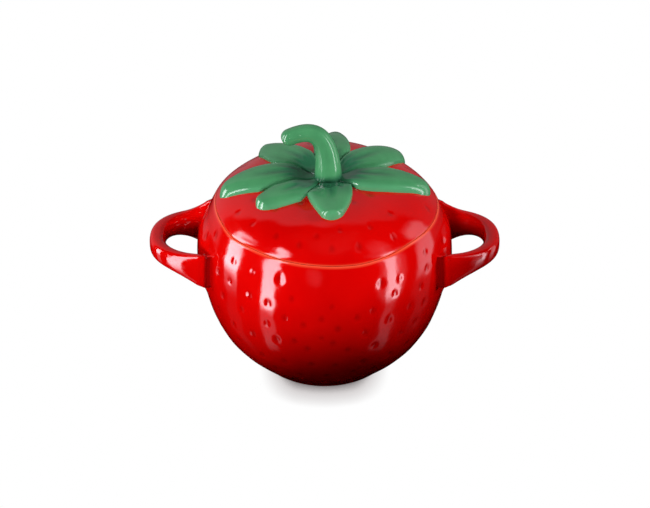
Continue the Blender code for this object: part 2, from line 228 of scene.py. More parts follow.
def lobe_growth(height, azimuth):
    """Share by which the radius grows at an azimuth from the front."""
    fade = smooth_step(LOBE_START, BELLY_POINT[1], height)
    return 1.0 + LOBE_RISE / BELLY_POINT[0] * fade * np.cos(LOBES * azimuth)


def lid_height(x, y):
    """Height of the lid's outer face over points of the plan."""
    radius = np.hypot(x, y)
    azimuth = np.arctan2(x, -y)
    mean = radius / (1.0 + LOBE_RISE / BELLY_POINT[0] * np.cos(LOBES * azimuth))
    start = int(np.argmax(FRUIT[:, 0]))
    upper = FRUIT[start:][::-1]
    return np.interp(mean, upper[:, 0], upper[:, 1])


# Meshes


def add_object(name, data):
    item = bpy.data.objects.new(name, data)
    bpy.context.scene.collection.objects.link(item)
    return item


def make_piece(name, points, faces, material, body, nodes, masks):
    """Mesh object on a CAD body, which stands for these CAD nodes, with masks for its glaze."""
    mesh = bpy.data.meshes.new(name)
    mesh.from_pydata(points.reshape(-1, 3).tolist(), [], faces.tolist())
    mesh.shade_smooth()
    for mask, values in masks.items():
        layer = mesh.attributes.new(mask, "FLOAT", "POINT")
        layer.data.foreach_set("value", np.asarray(values, dtype=np.float32).ravel())
    mesh.update()
    mesh.materials.append(material)
    item = add_object(name, mesh)
    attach(item, body)
    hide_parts(*nodes)


def grid_faces(rows, columns, wrap=False):
    """Quads over a grid of points, row by row, whose columns may close into rings."""
    last = columns if wrap else columns - 1
    row, column = np.meshgrid(np.arange(rows - 1), np.arange(last), indexing="ij")
    following = (column + 1) % columns
    quads = np.stack(
        (
            row * columns + column,
            row * columns + following,
            (row + 1) * columns + following,
            (row + 1) * columns + column,
        ),
        axis=-1,
    )
    return quads.reshape(-1, 4)


# Dimples


def all_dimples():
    """Azimuth, distance along the outline and size of each dimple."""
    dimples = [
        (math.radians(azimuth), float(fruit_distance(height / 1000.0)), size)
        for azimuth, height, size in SEEN_DIMPLES
    ]
    draw = np.random.RandomState(DIMPLE_SEED).uniform
    seam = float(fruit_distance(RIM_HEIGHT))
    row = 0
    distance = DIMPLE_FROM_FOOT
    while distance < FRUIT_LENGTH[-1] - DIMPLE_FROM_CROWN:
        radius = float(np.interp(distance, FRUIT_LENGTH, FRUIT[:, 0]))
        count = max(DIMPLE_FEWEST, int(round(2.0 * math.pi * radius / DIMPLE_SPACING)))
        for index in range(count):
            azimuth = 2.0 * math.pi * (index + 0.5 * (row % 2)) / count - math.pi
            azimuth += draw(-DIMPLE_SHIFT, DIMPLE_SHIFT) / radius
            place = distance + draw(-DIMPLE_SHIFT, DIMPLE_SHIFT)
            size = draw(*DIMPLE_SIZES)
            height = float(np.interp(place, FRUIT_LENGTH, FRUIT[:, 1]))
            at_seam = abs(place - seam) < DIMPLE_FROM_SEAM
            at_front = abs(math.degrees(azimuth)) < BARE_FRONT_TURN and height > BARE_FRONT_HEIGHT
            crowded = any(
                math.hypot(turn_between(azimuth, other) * radius, place - far) < DIMPLE_NEAREST
                for other, far, _ in dimples
            )
            if not (at_seam or at_front or crowded):
                dimples.append((azimuth, place, size))
        row += 1
        distance += DIMPLE_ROW
    return np.array(dimples)


DIMPLES = all_dimples()


def dimple_field(azimuth, distance, radius):
    """Depth of the dimples and of their soft skirts on a grid of the outer face."""
    pit = np.zeros_like(azimuth)
    skirt = np.zeros_like(azimuth)
    for middle, place, size in DIMPLES:
        rows = np.nonzero(np.abs(distance[:, 0] - place) < SKIRT_REACH * SKIRT_RADIUS * size)[0]
        if rows.size == 0:
            continue
        part = slice(rows[0], rows[-1] + 1)
        across = turn_between(azimuth[part], middle) * radius[part]
        up = distance[part] - place
        narrow = 1.0 - DIMPLE_NARROWING * np.clip(up / (DIMPLE_LENGTH * size), -1.0, 1.0)
        reach = (across / (DIMPLE_WIDTH * size * narrow)) ** 2 + (up / (DIMPLE_LENGTH * size)) ** 2
        pit[part] = np.maximum(pit[part], size * np.clip(1.0 - reach, 0.0, 1.0) ** 2)
        spread = (across**2 + up**2) / (SKIRT_RADIUS * size) ** 2
        skirt[part] += size * np.exp(-SKIRT_FALL * spread)
    return pit, skirt


def hand_waves(azimuth, distance):
    """Slow waves of a hand-finished wall, from -1 to 1."""
    waves = np.zeros_like(azimuth)
    for count, length, shift in WAVES:
        waves += np.sin(count * azimuth + 2.0 * math.pi * distance / length + shift)
    return waves / len(WAVES)


# Turned bodies

# Way of the seam along the outline, up and inward: azimuth from the front in degrees, metres
SEAM_WAY = np.array(
    (
        (-180.0, 0.0), (-130.0, 0.0009), (-88.0, 0.0029), (-71.0, 0.0016), (-56.0, -0.0003), (-44.0, 0.0001),
        (-30.0, 0.0003), (-4.0, 0.0003), (7.5, -0.0002), (20.0, -0.0009), (38.0, -0.0009), (51.0, -0.0005),
        (63.0, -0.0008), (95.0, -0.0004), (130.0, 0.0), (180.0, 0.0),
    )
)
SEAM_EASE = math.radians(7.0)
SEAM_SAMPLES = 9
SEAM_FADE = 0.0075
SEAM_DEPTH = (0.0022, 0.0042)
SEAM_PLAIN = (0.0012, 0.0035)
SEAM_LINE = (0.0001, 0.0008)


def seam_way(azimuth):
    """Soft curve through the table of the seam."""
    nearby = np.linspace(-1.0, 1.0, SEAM_SAMPLES)
    weights = 1.0 + np.cos(math.pi * nearby)
    weights = weights / np.sum(weights)
    way = np.zeros_like(azimuth)
    for shift, weight in zip(nearby, weights):
        turned = np.degrees(turn_between(azimuth + shift * SEAM_EASE, 0.0))
        way += weight * np.interp(turned, SEAM_WAY[:, 0], SEAM_WAY[:, 1])
    return way


def follow_seam(radius, height, azimuth):
    """The rims of pot and lid slid along the outline to the seam, and the inside left as it is."""
    normal = FRUIT_NORMALS[np.searchsorted(FRUIT[:, 1], RIM_HEIGHT)]
    out = radius - fruit_radius(RIM_HEIGHT) * lobe_growth(RIM_HEIGHT, azimuth)
    up = height - RIM_HEIGHT
    depth = -(out * normal[0] + up * normal[1])
    slide = np.exp(-(out**2 + up**2) / SEAM_FADE**2) * (1.0 - smooth_step(*SEAM_DEPTH, depth))
    slide = slide * seam_way(azimuth)
    return radius - normal[1] * slide, height + normal[0] * slide


def boss_rise(across, height):
    """Rise of the wall between the arms of a handle."""
    rise = 1.0 - smooth_step(BOSS_HALF_WIDTH - BOSS_EASE, BOSS_HALF_WIDTH + BOSS_EASE, np.abs(across))
    rise = rise * smooth_step(BOSS_LOW - BOSS_EASE, BOSS_LOW + BOSS_EASE, height)
    return BOSS_RISE * rise * (1.0 - smooth_step(BOSS_HIGH - BOSS_EASE, BOSS_HIGH + BOSS_EASE, height))


def seam_profiles():
    """Outline of the pot and of the lid as closed loops, with the outer face first."""
    seam = float(fruit_distance(RIM_HEIGHT))
    below = FRUIT[FRUIT_LENGTH < seam - EDGE_ROUND]
    above = FRUIT[FRUIT_LENGTH > seam + EDGE_ROUND]
    angles = np.linspace(0.0, math.pi / 2, EDGE_STEPS)

    def rounded(edge, sign):
        normal_out = FRUIT_NORMALS[np.searchsorted(FRUIT[:, 1], edge[1])]
        first = math.atan2(normal_out[1], normal_out[0])
        last = sign * math.pi / 2
        turn = first + (last - first) * angles / (math.pi / 2)
        centre = edge - EDGE_ROUND * normal_out
        arc = centre + EDGE_ROUND * np.column_stack((np.cos(turn), np.sin(turn)))
        face = RIM_HEIGHT if sign > 0 else RIM_HEIGHT + SEAT_GAP
        arc[:, 1] += (face - arc[-1, 1]) * (angles / angles[-1])
        return arc

    pot_edge = rounded(below[-1], 1.0)
    lid_edge = rounded(above[0], -1.0)
    mouth = pot_edge[-1, 0] + EDGE_ROUND - RIM_WIDTH

    pot_outer = np.vstack((pot_edge[::-1], below[::-1]))
    ring = FOOT_POINT[0] - FOOT_POINT[1]
    inward = FRUIT[: len(below)] - WALL * FRUIT_NORMALS[: len(below)]
    inward = inward[(inward[:, 1] > FLOOR_HEIGHT + FLOOR_EASE) & (inward[:, 1] < RIM_HEIGHT - RIM_LIP)]
    start = inward[0]
    corner = np.array((start[0], FLOOR_HEIGHT)) - FLOOR_CORNER
    bend = np.array((start, corner + (0.0, FLOOR_BEND[1]), corner, corner - (FLOOR_BEND[0], 0.0)))
    floor_bend = bezier(bend, np.linspace(1.0, 0.0, BEND_STEPS))
    pot_base = np.vstack(
        (
            (ring - FOOT_EASE, 0.0),
            (ring - FOOT_WIDTH, 0.0),
            (ring - FOOT_WIDTH - FOOT_RECESS, FOOT_RECESS),
            (0.0, FOOT_RECESS),
        )
    )
    pot_inside = np.vstack(
        (
            (0.0, FLOOR_HEIGHT),
            floor_bend,
            inward[1:],
            (mouth, RIM_HEIGHT - RIM_LIP + EDGE_ROUND),
            (mouth, RIM_HEIGHT - EDGE_ROUND),
            (mouth + EDGE_SOFT, RIM_HEIGHT - EDGE_SOFT),
            (mouth + EDGE_ROUND, RIM_HEIGHT),
        )
    )

    lid_outer = np.vstack((above[::-1], lid_edge))
    outside = mouth - FLANGE_CLEARANCE
    inside = outside - FLANGE_WALL
    foot = RIM_HEIGHT - FLANGE_DEPTH
    hollow = above - LID_WALL * FRUIT_NORMALS[-len(above):]
    hollow = hollow[hollow[:, 0] < inside - LID_HOLLOW_EASE]
    lid_inside = np.vstack(
        (
            (outside, RIM_HEIGHT + SEAT_GAP),
            (outside, foot + EDGE_ROUND),
            (outside - EDGE_SOFT, foot + EDGE_SOFT),
            (outside - EDGE_ROUND, foot),
            (inside + EDGE_ROUND, foot),
            (inside + EDGE_SOFT, foot + EDGE_SOFT),
            (inside, foot + EDGE_ROUND),
            np.array((inside, foot)) + FLANGE_LEAN,
            hollow,
        )
    )
    lid_inside[-1, 0] = 0.0
    return pot_outer, np.vstack((pot_base, pot_inside, pot_outer[:1])), lid_outer, lid_inside


def turned_grid(name, outer, inside, material, body, nodes, bare):
    """Lobed body of revolution with dimples on its outer face.

    bare tells where the clay is left without glaze.
    """
    outer = resample(outer, OUTER_STEP)
    outer_count = len(outer)
    profile = np.vstack((outer, split_path(inside, INNER_STEP)))
    normals = path_normals(outer)
    if normals[len(normals) // 2, 0] < 0.0:
        normals = -normals

    azimuth = np.linspace(-math.pi, math.pi, TURN, endpoint=False)
    turn, radius = np.meshgrid(azimuth, profile[:, 0])
    height = np.repeat(profile[:, 1:2], TURN, axis=1)
    distance = np.repeat(fruit_distance(outer[:, 1])[:, None], TURN, axis=1)
    pit, skirt = dimple_field(turn[:outer_count], distance, radius[:outer_count])
    seam = float(fruit_distance(RIM_HEIGHT))
    keep = smooth_step(*SEAM_PLAIN, np.abs(distance - seam))
    pit *= keep
    skirt *= keep
    sink = DIMPLE_DEPTH * pit + SKIRT_DEPTH * skirt
    sink += WAVE_RISE * (1.0 + hand_waves(turn[:outer_count], distance)) * keep
    radius[:outer_count] -= sink * normals[:, 0:1]
    height[:outer_count] -= sink * normals[:, 1:2]
    grown = radius * lobe_growth(height, turn)
    grown[:outer_count] += boss_rise((grown * np.cos(turn))[:outer_count], height[:outer_count]) * keep
    grown, height = follow_seam(grown, height, turn)
    points = np.stack((grown * np.sin(turn), -grown * np.cos(turn), height), axis=-1)

    rows = len(profile)
    masks = {
        "pit": np.zeros((rows, TURN)),
        "edge": np.zeros((rows, TURN)),
        "bare": np.repeat(bare(profile)[:, None], TURN, axis=1),
    }
    # Pit mask: darker in the dimples, from pooled glaze and painted shade
    masks["pit"][:outer_count] = DIMPLE_POOL_AND_SHADE * pit
    near = np.abs(profile[:, 1] - RIM_HEIGHT - 0.5 * SEAT_GAP)
    edge = 1.0 - smooth_step(*SEAM_LINE, near)
    edge[outer_count:] = 0.0
    masks["edge"] += edge[:, None]
    faces = grid_faces(rows, TURN, wrap=True)[:, ::-1]
    make_piece(name, points, faces, material, body, nodes, masks)


# Handles

HANDLE_REACH = 0.0750
HANDLE_LOOP = 0.0240
HANDLE_HALF_WIDTH = 0.0192
HANDLE_SQUARENESS = 2.2
HANDLE_ARM_THICKNESS = 0.0046
HANDLE_TIP_THICKNESS = 0.0069
HANDLE_TOP = 0.0614
HANDLE_TIP_HEIGHT = 0.0092
HANDLE_DROP = 0.0092
HANDLE_DROP_POWER = 2.2
HANDLE_LIFT = 0.0020
HANDLE_LIFT_POWER = 5.0
HANDLE_ROOT = 0.0470
HANDLE_STEPS = 141
HANDLE_ROOT_STEPS = 24
SECTION_STEPS = 56
OUTER_SQUARENESS = 3.0
INNER_SQUARENESS = 2.4
# From the front arm of a handle to its back arm, along Y
BACK_ARM = (-0.010, 0.010)
FRONT_ARM_END = (-0.010, 0.0)
FRONT_DROP = 0.0009
ARM_FLARE = 0.0032
ARM_FLARE_FROM = 0.0662
ARM_FLARE_RUN = 0.0150
ARM_FLARE_POWER = 1.5
ARM_FLARE_LIFT = 0.67
FILLET_RUN = 0.0110
FILLET_SPREAD = 0.0010
FILLET_RISE_BACK = 0.0038
FILLET_POWER = 1.7
GROOVE_RUN = 0.0054
GROOVE_DEPTH = 0.0085
GROOVE_POWER = 1.5
GROOVE_LIMIT = 1.5
GROOVE_TOP = 0.35
GROOVE_BOTTOM = 0.20
# Painted shade down the inner face and in the groove
INNER_SHADE = (0.0, 0.012)
GROOVE_SHADE = (0.0010, 0.0030)


def handle_line():
    """Middle line of the strap in plan, from front root to back root, its normals and half its thickness."""
    power = HANDLE_SQUARENESS
    angle = np.linspace(-math.pi / 2, math.pi / 2, HANDLE_STEPS)
    along = np.clip(np.cos(angle), 0.0, 1.0) ** (2.0 / power)
    across = np.sign(angle) * np.abs(np.sin(angle)) ** (2.0 / power)
    start = HANDLE_REACH - HANDLE_LOOP
    outside = np.column_stack((start + HANDLE_LOOP * along, HANDLE_HALF_WIDTH * across))
    normal = np.column_stack(
        (
            along ** (power - 1.0) / HANDLE_LOOP,
            np.sign(across) * np.abs(across) ** (power - 1.0) / HANDLE_HALF_WIDTH,
        )
    )
    normal /= np.linalg.norm(normal, axis=1)[:, None]
    thickness = HANDLE_ARM_THICKNESS + (HANDLE_TIP_THICKNESS - HANDLE_ARM_THICKNESS) * along
    middle = outside - 0.5 * normal * thickness[:, None]
    into_wall = np.linspace(HANDLE_ROOT, middle[0, 0], HANDLE_ROOT_STEPS, endpoint=False)
    front = np.column_stack((into_wall, np.full(HANDLE_ROOT_STEPS, middle[0, 1])))
    back = np.column_stack((into_wall[::-1], np.full(HANDLE_ROOT_STEPS, middle[-1, 1])))
    line = np.vstack((front, middle, back))
    roots = (HANDLE_ROOT_STEPS, HANDLE_ROOT_STEPS)
    return line, np.pad(normal, (roots, (0, 0)), mode="edge"), 0.5 * np.pad(thickness, roots, mode="edge")


def handle_section():
    """Section of the strap: place of each point across and up, and the lean of the face there."""
    turn = np.linspace(0.0, 2.0 * math.pi, SECTION_STEPS, endpoint=False)
    cosine = np.cos(turn)
    sine = np.sin(turn)
    squareness = np.where(cosine > 0.0, OUTER_SQUARENESS, INNER_SQUARENESS)
    wide = np.sign(cosine) * np.abs(cosine) ** (2.0 / squareness)
    high = np.sign(sine) * np.abs(sine) ** (2.0 / squareness)
    lean_out = np.sign(wide) * np.abs(wide) ** (squareness - 1.0)
    lean_up = np.sign(high) * np.abs(high) ** (squareness - 1.0)
    return wide, high, lean_out, lean_up


def handle_piece(name, side, material):
    """Loop strap with a flat outer face and a rounder inner one, and fillets and grooves at the wall."""
    line, normal, half = handle_line()
    wide, high, lean_out, lean_up = handle_section()
    share = np.clip((HANDLE_REACH - line[:, 0] - half * normal[:, 0]) / HANDLE_LOOP, 0.0, 1.0)
    behind = smooth_step(*BACK_ARM, line[:, 1])
    top = HANDLE_TOP - FRONT_DROP * (1.0 - behind) + HANDLE_LIFT * behind * share**HANDLE_LIFT_POWER
    bottom = HANDLE_TOP - HANDLE_TIP_HEIGHT - HANDLE_DROP * share**HANDLE_DROP_POWER
    centre = 0.5 * (top + bottom)
    tall = 0.5 * (top - bottom)

    offset = half[:, None] * wide
    height = centre[:, None] + tall[:, None] * high
    push_out = lean_out / half[:, None]
    push_up = lean_up / tall[:, None]
    size = np.hypot(push_out, push_up)
    push_out = push_out / size
    push_up = push_up / size

    x = line[:, 0:1] + normal[:, 0:1] * offset
    y = line[:, 1:2] + normal[:, 1:2] * offset
    flare = np.clip((ARM_FLARE_FROM - x) / ARM_FLARE_RUN, 0.0, 1.0) ** ARM_FLARE_POWER
    flare = ARM_FLARE * flare * (1.0 - smooth_step(*FRONT_ARM_END, y))
    y = y - flare
    height = height + ARM_FLARE_LIFT * flare
    gap = np.hypot(x, y) - fruit_radius(height) * lobe_growth(height, np.arctan2(x, -y))
    nearness = np.clip(1.0 - gap / FILLET_RUN, 0.0, 1.0) ** FILLET_POWER
    behind = smooth_step(*BACK_ARM, y)
    groove = GROOVE_DEPTH * np.clip(1.0 - gap / GROOVE_RUN, 0.0, 1.0) ** GROOVE_POWER
    groove = np.minimum(groove, GROOVE_LIMIT * half[:, None])
    spread = np.where(push_out > 0.0, -groove, FILLET_SPREAD * nearness)
    x += normal[:, 0:1] * push_out * spread
    y += normal[:, 1:2] * push_out * spread
    rise = FILLET_RISE_BACK * behind * nearness - GROOVE_TOP * (1.0 - behind) * groove
    height = height + np.where(push_up > 0.0, push_up * rise, -GROOVE_BOTTOM * push_up * groove)

    faces = grid_faces(len(line), SECTION_STEPS, wrap=True)
    if side < 0.0:
        faces = faces[:, ::-1]
    # Pit mask on the handle: painted shade down the inner face and in the groove
    inner = np.clip(-push_out, 0.0, 1.0) * smooth_step(*INNER_SHADE, HANDLE_TOP - height)
    crease = smooth_step(*GROOVE_SHADE, groove) * (push_out > 0.0)
    masks = {"pit": np.maximum(inner, crease), "edge": np.zeros_like(x), "bare": np.zeros_like(x)}
    points = np.stack((side * x, y, height), axis=-1)
    make_piece(name, points, faces, material, "pot", [name], masks)


# Stem

STEM_OFFSET = 0.0015
STEM_CURVE = np.array(((0.0, 0.0), (0.0, 0.0115), (-0.0007, 0.0265), (-0.0160, 0.0192)))
STEM_RADIUS = 0.0060
STEM_TIP_RADIUS = 0.0036
STEM_TAPER = 1.6
STEM_LEAN = 0.09
STEM_CAP = 1.0
STEM_CAP_ROUND = 0.8
STEM_FOOT = CROWN_HEIGHT + 0.0002
STEM_SINK = 0.0008
STEM_STEPS = 110
STEM_CAP_STEPS = 18
STEM_TURN = 72
STEM_END_RADIUS = 1e-5
# Darker colour at the foot, by height, from pooled glaze and painted shade, and paler glaze on the cut end,
# by angle
STEM_HOLLOW = (0.0006, 0.0042)
STEM_CUT = (0.7, 1.2)


def stem_piece(material):
    """Tapered stem that bends over to the left and has a rounded cut end."""
    share = np.linspace(0.0, 1.0, STEM_STEPS)
    path = bezier(STEM_CURVE, share)
    radius = STEM_TIP_RADIUS + (STEM_RADIUS - STEM_TIP_RADIUS) * (1.0 - share) ** STEM_TAPER
    ahead = path[-1] - path[-2]
    ahead /= np.linalg.norm(ahead)
    cap = np.linspace(0.0, math.pi / 2, STEM_CAP_STEPS)[1:]
    path = np.vstack((path, path[-1] + STEM_CAP * STEM_TIP_RADIUS * np.sin(cap)[:, None] * ahead))
    cap_radius = STEM_TIP_RADIUS * np.cos(cap) ** STEM_CAP_ROUND
    radius = np.concatenate((radius, np.maximum(cap_radius, STEM_END_RADIUS)))[:, None]
    along = np.gradient(path, axis=0)
    along[-len(cap):] = ahead
    along /= np.linalg.norm(along, axis=1)[:, None]
    turn = np.linspace(0.0, 2.0 * math.pi, STEM_TURN, endpoint=False)
    x = STEM_OFFSET + path[:, 0:1] + radius * along[:, 1:2] * np.cos(turn)
    y = STEM_LEAN * path[:, 1:2] + radius * np.sin(turn)
    z = STEM_FOOT + (1.0 - 0.5 * STEM_LEAN) * path[:, 1:2] - radius * along[:, 0:1] * np.cos(turn)
    z[0] -= STEM_SINK
    points = np.stack((x, y, z), axis=-1)
    # Hollow mask: pooled glaze and painted shade at the foot of the stem
    hollow = 1.0 - smooth_step(*STEM_HOLLOW, path[:, 1])
    cut_end = np.zeros(len(path))
    cut_end[-len(cap):] = smooth_step(*STEM_CUT, cap)
    masks = {"hollow": np.repeat(hollow, STEM_TURN), "ridge": np.repeat(cut_end, STEM_TURN)}
    faces = grid_faces(len(path), STEM_TURN, wrap=True)
    make_piece("stem_glazed", points, faces, material, "lid", ["stem"], masks)


# Leaves

# root and tip are azimuths from +X in degrees, tilt is how much thicker the side with the larger azimuth is,
# and body is a share of the usual thickness
Leaf = namedtuple("Leaf", "name root tip reach half_width tip_half_width tilt body")
LEAVES = [
    Leaf("leaf_right", -8.0, 2.0, 0.0449, 0.0085, 0.0030, 0.0, 1.0),
    Leaf("leaf_back_right", 34.0, 40.0, 0.0447, 0.0080, 0.0026, 0.0010, 1.05),
    Leaf("leaf_back", 80.0, 83.0, 0.0422, 0.0080, 0.0024, 0.0, 1.0),
    Leaf("leaf_back_left", 131.0, 135.0, 0.0394, 0.0078, 0.0024, -0.0012, 1.0),
    Leaf("leaf_left", 179.0, 183.0, 0.0444, 0.0086, 0.0030, -0.0011, 1.0),
    Leaf("leaf_front_left", 224.0, 214.0, 0.0338, 0.0076, 0.0034, -0.0004, 0.82),
    Leaf("leaf_front", 282.0, 276.0, 0.0303, 0.0108, 0.0032, 0.0, 0.92),
]
FRONT_LEAF = "leaf_front"
FRONT_LEAF_WIDEST = 0.28
FRONT_LEAF_SIDES = 1.4
FRONT_LEAF_ROOM = 0.63
LEAF_START = 0.0040
LEAF_ROOT = 0.0077
LEAF_ROOT_SHARE = 0.62
LEAF_WIDEST = 0.42
LEAF_GAP = 0.0001
LEAF_EDGE = 0.0030
LEAF_CROWN = 0.0011
LEAF_ROOT_THICKNESS = 0.0006
LEAF_ROOT_RISE = (0.0056, 0.0155)
LEAF_SINK = 0.0004
# Rounding of the outline and of the top at the tip: share of the length at its start, and its run
TIP_OUTLINE = (0.90, 0.10)
TIP_OUTLINE_LEAST = 0.02
TIP_TOP = (0.93, 0.07)
TIP_TOP_POWER = 0.7
# Powers that make the edge blunt
ACROSS_POWER = 0.62
RISE_POWER = 0.40
LEAF_ROWS = 90
TIP_ROWS = 18
LEAF_COLUMNS = 81
# Folds: place across the leaf, width, depth, share of the length at the end, and where they begin to fade
LEAF_FOLDS = [(0.0, 0.0016, 0.00075, 0.72), (0.46, 0.0011, 0.00050, 0.42), (-0.46, 0.0011, 0.00050, 0.42)]
FOLD_FADE = 0.4
# Darker colour round the stem and in the folds, from pooled glaze and painted shade, and paler glaze along
# the edge and at the tip
LEAF_HOLLOW = (0.0080, 0.0215)
FOLD_POOL_AND_SHADE = 0.0012
EDGE_PALE_POWER = 4
TIP_PALE = (0.88, 1.0)


def leaf_share(leaf, radius):
    """Share of the length of a leaf outside its root."""
    return np.clip((radius - LEAF_ROOT) / (leaf.reach - LEAF_ROOT), 0.0, 1.0)


def leaf_azimuth(leaf, radius):
    return leaf.root + (leaf.tip - leaf.root) * leaf_share(leaf, radius)


def round_end(share, start, run):
    """1 before the start, and then down to 0 as a quarter circle."""
    past = np.clip((share - start) / run, 0.0, 1.0)
    return np.sqrt(np.clip(1.0 - past**2, 0.0, 1.0))


def leaf_half_width(index, share, radius, step):
    """Half width on the side of the next leaf, for a step of 1, or of the one before, for a step of -1."""
    leaf = LEAVES[index]
    neighbour = LEAVES[(index + step) % len(LEAVES)]
    between = (step * (leaf_azimuth(neighbour, radius) - leaf_azimuth(leaf, radius))) % 360.0
    front = leaf.name == FRONT_LEAF
    part = 0.5
    if front:
        part = FRONT_LEAF_ROOM
    elif neighbour.name == FRONT_LEAF:
        part = 1.0 - FRONT_LEAF_ROOM
    room = radius * np.radians(between) * part - LEAF_GAP
    widest = FRONT_LEAF_WIDEST if front else LEAF_WIDEST
    growth = np.sin(0.5 * math.pi * np.minimum(1.0, share / widest))
    swell = LEAF_ROOT_SHARE + (1.0 - LEAF_ROOT_SHARE) * growth
    past = np.clip((share - widest) / (1.0 - widest), 0.0, 1.0)
    fall = 1.0 - past**FRONT_LEAF_SIDES if front else np.cos(0.5 * math.pi * past)
    swell = np.where(share < widest, swell, fall)
    wanted = leaf.tip_half_width + (leaf.half_width - leaf.tip_half_width) * swell
    return np.minimum(wanted, room) * np.maximum(round_end(share, *TIP_OUTLINE), TIP_OUTLINE_LEAST)


def leaf_piece(index, material):
    """Leaf that swells from a hollow round the stem, with soft folds along it and a blunt round edge."""
    leaf = LEAVES[index]
    tip_start, tip_run = TIP_TOP
    tip_rows = tip_start + tip_run * np.sin(np.linspace(0, math.pi / 2, TIP_ROWS)[1:])
    rows = np.concatenate((np.linspace(0.0, tip_start, LEAF_ROWS), tip_rows))
    radius = LEAF_START + (leaf.reach - LEAF_START) * rows
    share = leaf_share(leaf, radius)
    angle = np.linspace(0.0, math.pi, LEAF_COLUMNS)
    across = -np.sign(np.cos(angle)) * np.abs(np.cos(angle)) ** ACROSS_POWER
    rise = np.sin(angle) ** RISE_POWER
    left = leaf_half_width(index, share, radius, 1)
    right = leaf_half_width(index, share, radius, -1)
    width = np.where(across > 0.0, left[:, None], right[:, None])
    turn = np.radians(leaf_azimuth(leaf, radius))[:, None] + across * width / radius[:, None]
    x = radius[:, None] * np.cos(turn)
    y = radius[:, None] * np.sin(turn)

    root = smooth_step(*LEAF_ROOT_RISE, radius)[:, None]
    thick = leaf.body * (LEAF_EDGE + LEAF_CROWN * (1.0 - across**2)) + leaf.tilt * across
    thick = LEAF_ROOT_THICKNESS + (thick - LEAF_ROOT_THICKNESS) * root
    end = round_end(share, *TIP_TOP) ** TIP_TOP_POWER
    folds = np.zeros_like(turn)
    for place, spread, depth, reached in LEAF_FOLDS:
        line = np.exp(-(((across - place) * width) / spread) ** 2)
        fade = root * (1.0 - smooth_step(FOLD_FADE * reached, reached, share))[:, None]
        folds += depth * line * fade
    lift = thick * end[:, None] * rise - folds * rise
    z = lid_height(x, y) - LEAF_SINK * (1.0 - rise) + lift
    points = np.stack((x, y, z), axis=-1)
    # Hollow mask: pooled glaze and painted shade round the stem and in the folds
    hollow = (1.0 - smooth_step(*LEAF_HOLLOW, radius))[:, None] + folds / FOLD_POOL_AND_SHADE
    side = np.abs(across) ** EDGE_PALE_POWER * root
    ridge = np.maximum(side, smooth_step(*TIP_PALE, share)[:, None])
    masks = {"hollow": np.clip(hollow, 0.0, 1.0), "ridge": ridge}
    faces = grid_faces(len(rows), LEAF_COLUMNS)
    make_piece(leaf.name + "_glazed", points, faces, material, "lid", [leaf.name], masks)


# Materials

RED_DEEP = (0.60, 0.0004, 0.0004)
RED_BRIGHT = (0.67, 0.0010, 0.0006)
# Darker red of the pit mask: pooled glaze and painted shade in the dimples, painted shade on the handles
RED_POOL_AND_SHADE = (0.20, 0.0008, 0.0012)
RED_THIN = (0.95, 0.12, 0.05)
CLAY_DARK = (0.62, 0.52, 0.41)
CLAY_PALE = (0.74, 0.65, 0.54)
CLAY_ROUGH = 0.75
GREEN_DEEP = (0.058, 0.250, 0.104)
GREEN_BRIGHT = (0.074, 0.300, 0.124)
# Darker green of the hollow mask: pooled glaze and painted shade round the stem and in the folds
GREEN_POOL_AND_SHADE = (0.014, 0.095, 0.055)
GREEN_THIN = (0.120, 0.430, 0.220)
GLAZE_IOR = 1.5
# Noise: scale, detail, the part of its range that is used, and the values that this part becomes
RED_DRIFT = (38.0, 3.0, 0.35, 0.65, 0.0, 1.0)
RED_GLOSS = (120.0, 3.0, 0.3, 0.7, 0.075, 0.115)
CLAY_SPECK = (900.0, 4.0, 0.3, 0.7, 0.0, 1.0)
GREEN_DRIFT = (90.0, 3.0, 0.35, 0.65, 0.0, 1.0)
GREEN_GLOSS = (150.0, 3.0, 0.3, 0.7, 0.09, 0.15)
# Masks: the part of a mask that is used, and how strong it becomes
PIT_SHOWS = (0.0, 1.0, 0.0, 0.85)
EDGE_SHOWS = (0.0, 1.0, 0.0, 0.9)
HOLLOW_SHOWS = (0.0, 1.0, 0.0, 0.75)
RIDGE_SHOWS = (0.3, 1.0, 0.0, 0.35)
# Bumps: scale and detail of the noise, strength, distance
RED_BUMP = (130.0, 2.0, 0.10, 0.0008)
GREEN_BUMP = (220.0, 2.0, 0.15, 0.0006)


def new_material(name):
    material = bpy.data.materials.new(name)
    material.use_nodes = True
    nodes = material.node_tree.nodes
    return material, nodes, material.node_tree.links, nodes["Principled BSDF"]


def add_noise(nodes, links, place, scale, detail):
    noise = nodes.new("ShaderNodeTexNoise")
    noise.inputs["Scale"].default_value = scale
    noise.inputs["Detail"].default_value = detail
    links.new(place.outputs["Object"], noise.inputs["Vector"])
    return noise.outputs["Fac"]


def add_bump(nodes, links, place, shader, scale, detail, strength, distance):
    bump = nodes.new("ShaderNodeBump")
    bump.inputs["Strength"].default_value = strength
    bump.inputs["Distance"].default_value = distance
    links.new(add_noise(nodes, links, place, scale, detail), bump.inputs["Height"])
    links.new(bump.outputs["Normal"], shader.inputs["Normal"])


def add_range(nodes, links, value, low, high, to_low, to_high):
    node = nodes.new("ShaderNodeMapRange")
    node.inputs["From Min"].default_value = low
    node.inputs["From Max"].default_value = high
    node.inputs["To Min"].default_value = to_low
    node.inputs["To Max"].default_value = to_high
    links.new(value, node.inputs["Value"])
    return node.outputs["Result"]


def add_smooth(nodes, links, value, low, high, to_low=0.0, to_high=1.0):
    share = add_range(nodes, links, value, low, high, to_low, to_high)
    share.node.interpolation_type = "SMOOTHSTEP"
    return share


